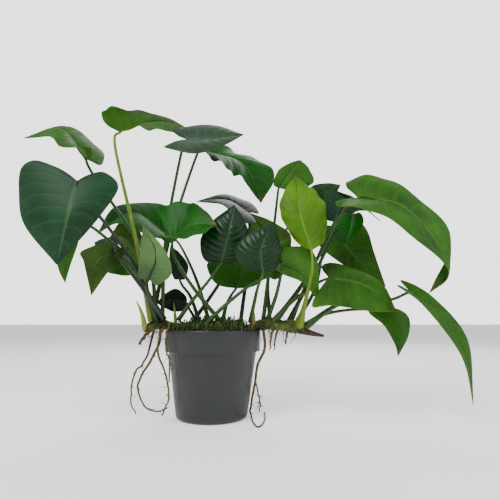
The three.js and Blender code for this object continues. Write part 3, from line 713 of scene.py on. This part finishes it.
def blade_piece(name, leaf, settings):
    """A blade from a grid laid over its surface, with pressed-in veins, then given thickness."""
    ribbed = leaf["tint"] == "ribbed"
    rows, columns = settings.rows, settings.columns
    deselect()
    bpy.ops.mesh.primitive_grid_add(x_subdivisions=columns, y_subdivisions=rows, size=2, location=(0, 0, 0))
    obj = bpy.context.object
    obj.name = name
    mesh = obj.data
    midrib = metres(leaf["midrib"])
    fan = FORMS[leaf["form"]]["fan"]
    edges = [edge(leaf, side) for side in (0, 1)]
    frames = []
    for i in range(rows + 1):
        share = i / rows
        vein = min(max((share - fan) / (1 - fan), 0), 1) ** VEIN_LEAN
        left, right = (smooth(points, share) for points in edges)
        up = (right - left).cross(tangent(midrib, vein))
        frames.append([smooth(midrib, vein), left, right, up])
    frames[0][3], frames[-1][3] = frames[1][3], frames[-2][3]
    puff, wave, waves = leaf.get("puff", PUFF), leaf.get("wave", WAVE), leaf.get("waves", WAVES)
    depth = settings.rib_depth if ribbed else settings.vein_depth
    half_step = 0.5 / settings.veins
    raggedness = len(name) + midrib[0].x * 40
    frill = FRILLS.get(name, 0)
    shares = []
    for vertex in mesh.vertices:
        share = (vertex.co.y + 1) / 2
        across = vertex.co.x
        shares.append((share, across))
        middle, left, right, up = frames[round(share * rows)]
        out = abs(across)
        reach = (left if across < 0 else right) - middle
        ragged = noise.noise(Vector((share * 7, (3.7 if across < 0 else 0), raggedness)))
        reach = reach * (1 + RUFFLE * ragged * out * math.sin(math.pi * share))
        turns = waves * share + (WAVE_PHASE if across < 0 else 0)
        folds = frill * out**3 * math.sin(2 * math.pi * MARGIN_FOLDS * share) * math.sin(math.pi * share)
        ripple = wave * out * out * math.sin(2 * math.pi * turns)
        lift = reach.length * (folds + puff * 2 * (out - out * out) + ripple)
        phase = share - VEIN_SWEEP * out * out + (half_step if across < 0 else 0)
        quilt = abs(math.sin(math.pi * settings.veins * phase)) ** 0.6
        fade = min(out * 5, 1) * (1 - out**4) * min((1 - share) * 6, 1) * min(reach.length / (20 * MM), 1)
        groove = math.exp(-((out * reach.length / (1.2 * MM)) ** 2)) * 0.5 * MM
        vertex.co = middle + reach * out + up.normalized() * (lift + depth * (quilt - 0.5) * fade - groove)
    uv = mesh.uv_layers.active or mesh.uv_layers.new(name="leaf_map")
    for face in mesh.polygons:
        shift = half_step if sum(shares[v][1] for v in face.vertices) < 0 else 0
        for loop in face.loop_indices:
            share, across = shares[mesh.loops[loop].vertex_index]
            uv.data[loop].uv = (share + shift, across / 2 + 0.5)
    mesh.materials.append(blade_material(leaf["tint"], True))
    mesh.materials.append(blade_material(leaf["tint"], False))
    choose(obj)
    bpy.ops.object.mode_set(mode="EDIT")
    bpy.ops.mesh.select_all(action="SELECT")
    bpy.ops.mesh.remove_doubles(threshold=0.02 * MM)
    bpy.ops.object.mode_set(mode="OBJECT")
    apply_modifier(obj, "SOLIDIFY", thickness=settings.thickness, offset=0, material_offset=1,
                   use_even_offset=False)
    return obj, midrib, frames


def leaf_piece(node, leaf, settings):
    """A whole leaf: the blade and its stalk, which tapers on under the blade as the midrib."""
    blade, midrib, frames = blade_piece(node, leaf, settings)
    down = -frames[len(frames) // 2][3].normalized()
    under = [smooth(midrib, share) + down * (0.9 * MM) for share in (0.12, 0.35, 0.6, 0.85)]
    stalk = metres(leaf["stalk"])
    route = stalk + [midrib[0] + down * (0.5 * MM)] + under
    joint = len(stalk) / (len(route) - 1)
    base, top = STALK_RADII
    swollen = SWOLLEN_BASES.get(node, base)

    def radius(share):
        if share < joint:
            down = 1 - share / joint
            return top + (base - top) * down**1.6 + (swollen - base) * down**6
        return top + (0.35 * MM - top) * ((share - joint) / (1 - joint)) ** 0.7

    kind = BRIGHT_STALKS.get(node, TINTS[leaf["tint"]][4])
    stem = tube("stem", route, radius, 64, 12, stalk_material(kind))
    return join([blade, stem], node.replace("leaf_", "foliage_"))


def chip(name, material, seed):
    """One bark chip: a bevelled block with torn faces."""
    deselect()
    bpy.ops.mesh.primitive_cube_add(size=1, location=(0, 0, 0))
    obj = bpy.context.object
    obj.name = name
    bpy.ops.object.mode_set(mode="EDIT")
    bpy.ops.mesh.select_all(action="SELECT")
    bpy.ops.mesh.bevel(offset=0.12, segments=1)
    bpy.ops.mesh.vertices_smooth(factor=0.2)
    bpy.ops.transform.vertex_random(offset=0.09, seed=seed)
    bpy.ops.object.mode_set(mode="OBJECT")
    obj.data.materials.append(material)
    return obj


def mound_height(radius):
    """Height of the growing mix's top at a distance from the pot's axis."""
    share = min(radius / (RIM_RADIUS - MIX_INSET), 1)
    return MIX_RIM + (MIX_BOX[1].z - MIX_RIM) * (1 - share**MIX_CURVE)


def wall_radius(height):
    """Radius of the pot's outer wall under the lip."""
    share = min(max((height - BASE_EDGE) / (POT_HEIGHT - LIP_HEIGHT - BASE_EDGE), 0), 1)
    return BASE_RADIUS + (RIM_RADIUS - LIP_STEP - BASE_RADIUS) * share


class PLANT_OT_stage(Operator):
    """Plain floor, soft studio light and camera"""
    bl_idname = "plant.stage"
    bl_label = "Stage"

    def execute(self, context):
        settings = context.scene.plant_stage
        deselect()
        bpy.ops.mesh.primitive_plane_add(size=settings.size, location=(0, 0, 0))
        floor = context.object
        floor.name = "floor"
        nodes = Nodes("floor_paper", 0.9)
        nodes.shader.inputs["Specular IOR Level"].default_value = 0.1
        grain = nodes.noise(nodes.coordinates(), 3, 2)
        nodes.colour(nodes.ramp(grain, [(0.3, shaded(settings.floor, 0.99)), (0.7, tuple(settings.floor))]))
        floor.data.materials.append(nodes.material)
        nodes.shader.inputs["Emission Color"].default_value = (1, 1, 1, 1)
        nodes.shader.inputs["Emission Strength"].default_value = settings.glow
        world = bpy.data.worlds.new("studio")
        context.scene.world = world
        world.use_nodes = True
        tree = world.node_tree
        sky = tree.nodes["Background"]
        sky.inputs["Color"].default_value = (1, 1, 1, 1)
        seen = tree.nodes.new("ShaderNodeMapRange")
        seen.inputs["To Min"].default_value = 0.62
        seen.inputs["To Max"].default_value = 2.6
        tree.links.new(tree.nodes.new("ShaderNodeLightPath").outputs["Is Camera Ray"], seen.inputs["Value"])
        tree.links.new(seen.outputs[0], sky.inputs["Strength"])
        for name, place, size, power in (
            ("key", (-0.6, -0.9, 1.3), 0.8, 24), ("fill", (1.1, -0.8, 0.7), 1.2, 8),
            ("back", (0.3, 1.2, 1.3), 1.0, 18),
        ):
            bpy.ops.object.light_add(type="AREA", location=place)
            light = context.object
            light.name = name
            light.data.size = size
            light.data.energy = power
            aim = Vector((0.02, 0, 0.2)) - light.location
            light.rotation_euler = aim.to_track_quat("-Z", "Y").to_euler()
        bpy.ops.object.camera_add(location=(0.0469, -0.5, 0.113), rotation=(math.radians(100.79), 0, 0))
        camera = context.object
        camera.data.lens = 27.58
        camera.data.sensor_width = 36
        camera.data.clip_start = 0.01
        context.scene.camera = camera
        return {"FINISHED"}


class PLANT_OT_pot(Operator):
    """Round nursery pot: a ribbed tapering body under a plain lip band"""
    bl_idname = "plant.pot"
    bl_label = "Pot"

    def execute(self, context):
        settings = context.scene.plant_pot
        wall = POT_WALL
        neck_z = POT_HEIGHT - LIP_HEIGHT
        profile = [(BASE_RADIUS - BASE_EDGE * (1 - math.sin(a)), BASE_EDGE * (1 - math.cos(a)))
                   for a in (0.4, 0.8, 1.2, math.pi / 2)]
        profile += [(wall_radius(z), z) for z in (20 * MM, 40 * MM, 60 * MM, neck_z - 1 * MM)]
        profile += [(RIM_RADIUS - LIP_STEP + 0.4 * MM, neck_z - 0.2 * MM), (RIM_RADIUS - 0.8 * MM, neck_z),
                    (RIM_RADIUS - 0.4 * MM, neck_z + 1 * MM), (RIM_RADIUS - 0.1 * MM, POT_HEIGHT - 3 * MM),
                    (RIM_RADIUS - 0.1 * MM, POT_HEIGHT - 1 * MM), (RIM_RADIUS - 0.6 * MM, POT_HEIGHT),
                    (RIM_RADIUS - wall, POT_HEIGHT), (RIM_RADIUS - wall - 0.2 * MM, POT_HEIGHT - 1 * MM),
                    (RIM_RADIUS - wall, neck_z + 2 * MM), (RIM_RADIUS - LIP_STEP - wall, neck_z - 1 * MM),
                    (BASE_RADIUS - wall, BASE_EDGE), (BASE_RADIUS - BASE_EDGE, wall)]
        segments = settings.ribs * 4
        start = BASE_RADIUS - BASE_EDGE
        deselect()
        bpy.ops.mesh.primitive_circle_add(
            vertices=segments, radius=start, fill_type="NGON", location=(0, 0, 0))
        pot = context.object
        pot.name = "nursery_pot"
        bpy.ops.object.mode_set(mode="EDIT")
        bpy.ops.mesh.select_all(action="SELECT")
        bpy.ops.mesh.extrude_region_move(TRANSFORM_OT_translate={"value": (0, 0, 0)})
        radius, height = start, 0.0
        for step, (next_radius, next_height) in enumerate(profile):
            if step:
                bpy.ops.mesh.extrude_region_move(TRANSFORM_OT_translate={"value": (0, 0, 0)})
            bpy.ops.transform.translate(value=(0, 0, next_height - height))
            scale = next_radius / radius
            bpy.ops.transform.resize(value=(scale, scale, 1), center_override=(0, 0, 0))
            radius, height = next_radius, next_height
        bpy.ops.mesh.select_all(action="SELECT")
        bpy.ops.mesh.normals_make_consistent(inside=False)
        bpy.ops.object.mode_set(mode="OBJECT")
        for vertex in pot.data.vertices:
            out = math.hypot(vertex.co.x, vertex.co.y)
            outside = out > wall_radius(vertex.co.z) - 0.5 * MM
            if outside and BASE_EDGE < vertex.co.z < neck_z - 0.5 * MM:
                angle = math.atan2(vertex.co.y, vertex.co.x)
                rib = settings.rib_depth * (math.cos(settings.ribs * angle) - 1) / 2
                vertex.co.xy *= (out + rib) / out
        self.cut_drain_holes(pot)
        pot.data.materials.clear()
        pot.data.materials.append(pot_material(tuple(settings.colour)))
        settle(pot, SLOTS["pot"], "pot")
        choose(pot)
        bpy.ops.object.shade_smooth_by_angle(angle=math.radians(35))
        return {"FINISHED"}

    @staticmethod
    def cut_drain_holes(pot):
        for i in range(DRAIN_HOLES):
            angle = (i + 0.5) / DRAIN_HOLES * 2 * math.pi
            deselect()
            bpy.ops.mesh.primitive_cylinder_add(
                vertices=24, radius=DRAIN_RADIUS, depth=8 * MM,
                location=(DRAIN_CIRCLE * math.cos(angle), DRAIN_CIRCLE * math.sin(angle), 0))
            cutter = bpy.context.object
            apply_modifier(pot, "BOOLEAN", object=cutter, operation="DIFFERENCE", solver="EXACT")
            bpy.data.objects.remove(cutter)


class PLANT_OT_mix(Operator):
    """Growing mix: an uneven mound with bark chips, moss strands and pale root loops"""
    bl_idname = "plant.mix"
    bl_label = "Growing mix"

    def execute(self, context):
        settings = context.scene.plant_mix
        rng = random.Random(11)
        base = tuple(settings.colour)
        bark = rough_material(
            "bark", [(0.3, shaded(base, 0.3)), (0.5, base), (0.72, shaded(base, 3.0))], 120, 0.8 * MM)
        deselect()
        bpy.ops.mesh.primitive_uv_sphere_add(segments=72, ring_count=48, radius=1, location=(0, 0, 0))
        mound = context.object
        mound.name = "mix_mound"
        inner = RIM_RADIUS - MIX_INSET
        for vertex in mound.data.vertices:
            turn = math.acos(max(-1, min(1, vertex.co.z))) / math.pi * 2
            angle = math.atan2(vertex.co.y, vertex.co.x)
            if turn <= 1:
                radius = inner * math.sin(turn * math.pi / 2)
                place = Vector((radius * math.cos(angle), radius * math.sin(angle), mound_height(radius)))
                place.z += noise.noise(place * 220) * 1.6 * MM + noise.noise(place * 90) * 1.5 * MM
            else:
                down = min((turn - 1) / 0.7, 1)
                height = MIX_RIM + (MIX_BOX[0].z - MIX_RIM) * down
                under_lip = height < POT_HEIGHT - LIP_HEIGHT + 8 * MM
                radius = min(inner, wall_radius(height) - 2.5 * MM) if under_lip else inner
                if turn > 1.7:
                    radius *= (2 - turn) / 0.3
                place = Vector((radius * math.cos(angle), radius * math.sin(angle), height))
            vertex.co = place
        mound.data.materials.append(bark)
        settle(mound, SLOTS["growing_mix"], "growing_mix")
        self.chips(settings, rng, bark)
        self.strands(settings, rng)
        return {"FINISHED"}

    @staticmethod
    def chips(settings, rng, bark):
        models = [chip(f"chip_model_{i}", bark, i + 1) for i in range(4)]
        copies = []
        for i in range(settings.bark):
            radius = (RIM_RADIUS - 4 * MM) * math.sqrt(rng.random())
            angle = rng.uniform(0, 2 * math.pi)
            copy = models[i % 4].copy()
            copy.data = models[i % 4].data.copy()
            bpy.context.collection.objects.link(copy)
            size = rng.uniform(2.5, 7) * MM
            lift = mound_height(radius) + rng.uniform(-0.5, 2.0) * MM
            turn = Euler((rng.uniform(-0.6, 0.6), rng.uniform(-0.6, 0.6), rng.uniform(0, 6.3)))
            stretch = Matrix.Diagonal(
                (size * 1.7, size * rng.uniform(0.6, 1), size * rng.uniform(0.3, 0.6), 1))
            place = Matrix.Translation((radius * math.cos(angle), radius * math.sin(angle), lift))
            copy.data.transform(place @ turn.to_matrix().to_4x4() @ stretch)
            copies.append(copy)
        for model in models:
            bpy.data.objects.remove(model)
        if copies:
            settle(join(copies, "bark_chips"), SLOTS["growing_mix"])

    @staticmethod
    def strands(settings, rng):
        moss = rough_material(
            "moss", [(0.3, (0.008, 0.022, 0.003)), (0.6, (0.030, 0.070, 0.008)), (0.8, (0.09, 0.12, 0.02))],
            160, 0.3 * MM, (0.5, 0.8))
        pale = rough_material(
            "fine_root", [(0.3, (0.08, 0.055, 0.022)), (0.6, (0.18, 0.13, 0.06)), (0.8, (0.32, 0.25, 0.13))],
            160, 0.3 * MM)
        for name, count, material, rise, thick, reach in (
            ("moss_strands", settings.moss, moss, (4, 15), (0.4, 1.1), 10),
            ("fine_roots", settings.fine_roots, pale, (3, 11), (0.35, 0.7), 22),
        ):
            made = []
            for _ in range(count):
                radius = (RIM_RADIUS - 5 * MM) * math.sqrt(rng.random())
                angle = rng.uniform(0, 2 * math.pi)
                start = Vector((radius * math.cos(angle), radius * math.sin(angle), 0))
                away = Vector((rng.uniform(-1, 1), rng.uniform(-1, 1), 0)) * reach * MM
                end = start + away
                if end.length > RIM_RADIUS - 3 * MM:
                    end *= (RIM_RADIUS - 3 * MM) / end.length
                start.z, end.z = (mound_height(p.length) - 1 * MM for p in (start, end))
                top = (start + end) / 2 + Vector((0, 0, rng.uniform(*rise) * MM))
                thickness = rng.uniform(*thick) * MM
                made.append(([start, top, end], taper((thickness, thickness * 0.5))))
            if made:
                settle(tubes(name, made, 7, 4, material), SLOTS["growing_mix"])


class PLANT_OT_rhizomes(Operator):
    """Creeping rhizomes with knobs and ring scars"""
    bl_idname = "plant.rhizomes"
    bl_label = "Rhizomes"

    def execute(self, context):
        skin = rough_material(
            "rhizome_skin",
            [(0.36, (0.012, 0.010, 0.004)), (0.5, (0.040, 0.055, 0.008)), (0.68, (0.11, 0.16, 0.012))],
            75, 0.7 * MM, (0.45, 0.75))
        dry = rough_material(
            "dry_stub", [(0.3, (0.02, 0.014, 0.008)), (0.7, (0.08, 0.055, 0.03))], 160, 0.5 * MM)
        fibre = rough_material(
            "fibre", [(0.3, (0.010, 0.007, 0.003)), (0.6, (0.07, 0.05, 0.018)), (0.8, (0.2, 0.15, 0.06))],
            160, 0.3 * MM)
        rng = random.Random(5)
        for seed, (node, (route, radii)) in enumerate(RHIZOMES.items()):
            first, last = (r * MM for r in radii)

            def radius(share, first=first, last=last, seed=seed):
                ring = max(0.0, math.cos(share * 26 * math.pi)) ** 6
                knob = noise.noise(Vector((share * 7, seed * 3.1, 0)))
                close = min(1.0, math.sqrt(max(1 - share, 0) * 12)) * 0.96 + 0.04
                return (first + (last - first) * share) * (0.80 + 0.10 * ring + 0.16 * knob) * close

            pieces = [tube("stem", metres(route), radius, 90, 24, skin)]
            if node == "rhizome_right":
                pieces.append(tube("stub", metres(STUB[0]), taper([r * MM for r in STUB[1]]), 24, 12, dry))
            pieces.append(tubes("fibres", self.fibres(metres(route), first, rng), 6, 4, fibre))
            settle(join(pieces, node.replace("rhizome", "creeping_stem")), SLOTS[node], node)
        return {"FINISHED"}


    @staticmethod
    def fibres(route, girth, rng, count=26):
        """Fine dry roots that wrap a creeping stem and hang off it."""
        made = []
        for _ in range(count):
            share = rng.uniform(0.05, 0.85)
            middle = smooth(route, share)
            angle = rng.uniform(0, 2 * math.pi)
            side = Vector((0, math.cos(angle), math.sin(angle))) * girth * 0.9
            drift = Vector((rng.uniform(-9, 9), rng.uniform(-7, 7), rng.uniform(-16, 3))) * MM
            start = middle + side
            made.append(([start, start + side * 0.35 + drift * 0.4, start + side * 0.2 + drift],
                         taper((0.6 * MM, 0.2 * MM))))
        return made


class PLANT_OT_roots(Operator):
    """Hanging roots with fine side rootlets"""
    bl_idname = "plant.roots"
    bl_label = "Roots"

    def execute(self, context):
        settings = context.scene.plant_roots
        rng = random.Random(23)
        base = tuple(settings.colour)
        skin = rough_material(
            "root_skin", [(0.3, shaded(base, 0.3)), (0.5, base), (0.75, shaded(base, 1.8))],
            150, 0.4 * MM, (0.55, 0.85))
        for node, (route, radii) in ROOTS.items():
            courses = [(metres(route), radii)]
            if node == "root_right_long":
                courses += [(metres(points), ends) for points, ends in (ROOT_FORK, ROOT_ON_FLOOR)]
            pieces = []
            for number, (points, ends) in enumerate(courses):
                flat = number == 2
                pieces.append(tube("course", points, taper([r * MM for r in ends]), 60, 8, skin,
                                   0.0 if flat else 1.6 * MM))
                hairs = []
                for _ in range(0 if flat else settings.hairs if len(route) > 3 else 5):
                    start = smooth(points, rng.uniform(0.12, 0.95))
                    away = Vector((rng.uniform(-1, 1), rng.uniform(-1, 0.6), rng.uniform(-1.3, 0.1)))
                    away = away.normalized() * rng.uniform(2, 9) * MM
                    sway = Vector((rng.uniform(-3, 3), rng.uniform(-3, 3), rng.uniform(-2, 1))) * MM
                    course = [start, start + away * 0.5 + sway, start + away]
                    hairs.append((course, taper((0.42 * MM, 0.15 * MM))))
                if hairs:
                    pieces.append(tubes("rootlets", hairs, 6, 4, skin))
            settle(join(pieces, node.replace("root", "hanging_root")), SLOTS[node], node)
        return {"FINISHED"}


class PLANT_OT_shoots(Operator):
    """Pointed sheaths and shoots between the stalks"""
    bl_idname = "plant.shoots"
    bl_label = "Shoots"

    def execute(self, context):
        looks = {
            "sheath_left": [(0.3, (0.16, 0.15, 0.04)), (0.55, (0.30, 0.34, 0.08)), (0.8, (0.45, 0.44, 0.16))],
            "shoot_centre": [(0.3, (0.06, 0.13, 0.02)), (0.7, (0.16, 0.28, 0.05))],
            "sheath_brown": [(0.3, (0.12, 0.07, 0.03)), (0.7, (0.36, 0.24, 0.10))],
            "twig_dry": [(0.3, (0.06, 0.035, 0.015)), (0.7, (0.20, 0.12, 0.05))],
        }
        for node, (route, radii) in SHOOTS.items():
            skin = rough_material(f"{node}_skin", looks[node], 140, 0.3 * MM, (0.45, 0.7), (1, 1, 0.2))
            ends = [r * MM * 0.95 for r in radii]
            piece = tube(f"{node}_grown", metres(route), taper((ends[0], 0.25 * MM), 1.4), 30, 12, skin)
            settle(piece, SLOTS[node], node)
        return {"FINISHED"}


class PLANT_OT_leaves(Operator):
    """All leaves: veined blades on their stalks"""
    bl_idname = "plant.leaves"
    bl_label = "Leaves"

    def execute(self, context):
        settings = context.scene.plant_leaves
        for node, leaf in LEAVES.items():
            settle(leaf_piece(node, leaf, settings), SLOTS[node], node)
        return {"FINISHED"}


class PLANT_PT_panel(Panel):
    """Sizes and colours of the plant, and a button for each group of pieces"""
    bl_idname = "PLANT_PT_panel"
    bl_label = "Aquarium Plant"
    bl_space_type = "VIEW_3D"
    bl_region_type = "UI"
    bl_category = "Plant"

    def draw(self, context):
        for group, operators in PANEL_ROWS:
            box = self.layout.box()
            settings = getattr(context.scene, group)
            for name in settings.__annotations__:
                box.prop(settings, name)
            for operator in operators:
                box.operator(operator.bl_idname)


PANEL_ROWS = (
    ("plant_stage", (PLANT_OT_stage,)),
    ("plant_pot", (PLANT_OT_pot,)),
    ("plant_mix", (PLANT_OT_mix,)),
    ("plant_roots", (PLANT_OT_rhizomes, PLANT_OT_roots, PLANT_OT_shoots)),
    ("plant_leaves", (PLANT_OT_leaves,)),
)
SETTINGS = {
    "plant_stage": PlantStageSettings,
    "plant_pot": PlantPotSettings,
    "plant_mix": PlantMixSettings,
    "plant_roots": PlantRootSettings,
    "plant_leaves": PlantLeafSettings,
}
CLASSES = (*SETTINGS.values(), *(o for _, operators in PANEL_ROWS for o in operators), PLANT_PT_panel)


def register():
    for cls in CLASSES:
        bpy.utils.register_class(cls)
    for name, cls in SETTINGS.items():
        setattr(bpy.types.Scene, name, PointerProperty(type=cls))


def unregister():
    for name in SETTINGS:
        delattr(bpy.types.Scene, name)
    for cls in reversed(CLASSES):
        bpy.utils.unregister_class(cls)


def main():
    register()
    bpy.ops.plant.stage()
    bpy.ops.plant.pot()
    bpy.ops.plant.mix()
    bpy.ops.plant.rhizomes()
    bpy.ops.plant.roots()
    bpy.ops.plant.shoots()
    bpy.ops.plant.leaves()


if __name__ == "__main__":
    main()
